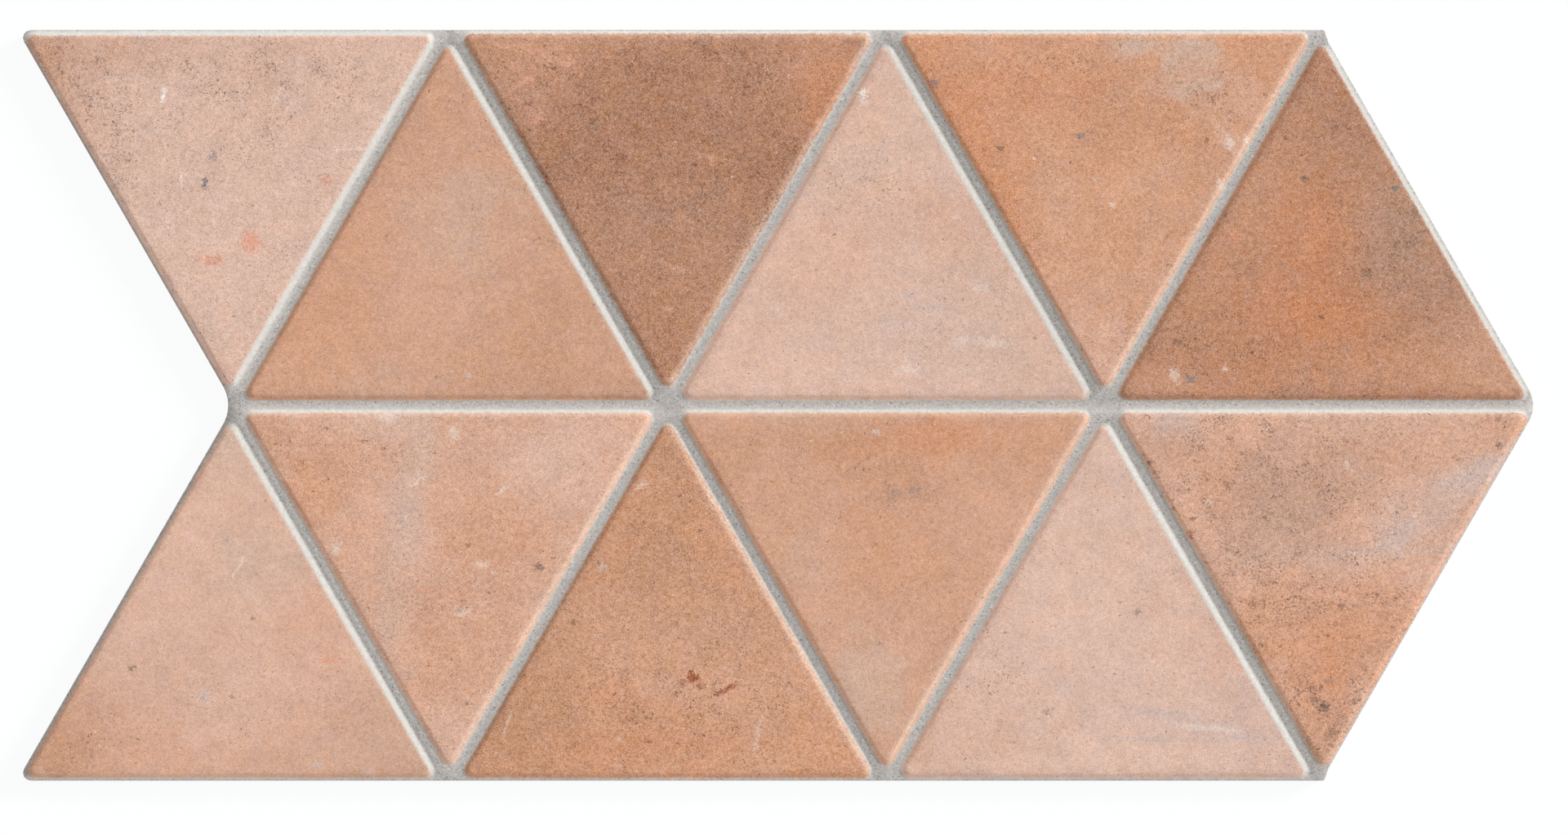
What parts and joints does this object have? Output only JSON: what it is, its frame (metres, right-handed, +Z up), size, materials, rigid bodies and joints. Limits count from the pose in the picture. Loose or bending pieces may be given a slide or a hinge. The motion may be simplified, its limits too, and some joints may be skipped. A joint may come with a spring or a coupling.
{
  "type": "triangle pattern tile",
  "caption": "Arrow-shaped terracotta-look ceramic tile for floors and walls, its face pressed into raised triangles with pale joint grooves and its back ribbed for adhesive.",
  "frame": {"origin": "middle of the tile's box, on the plane of the bedding side", "axes": "+X from the notched tail to the pointed nose, +Y across the two rows of triangles, +Z up out of the face"},
  "size_m": [0.5618, 0.2794, 0.0095],
  "materials": {
    "terracotta_ceramic": "matt"
  },
  "bodies": {
    "root": {"triangle_tile": "terracotta_ceramic"}
  },
  "joints": []
}
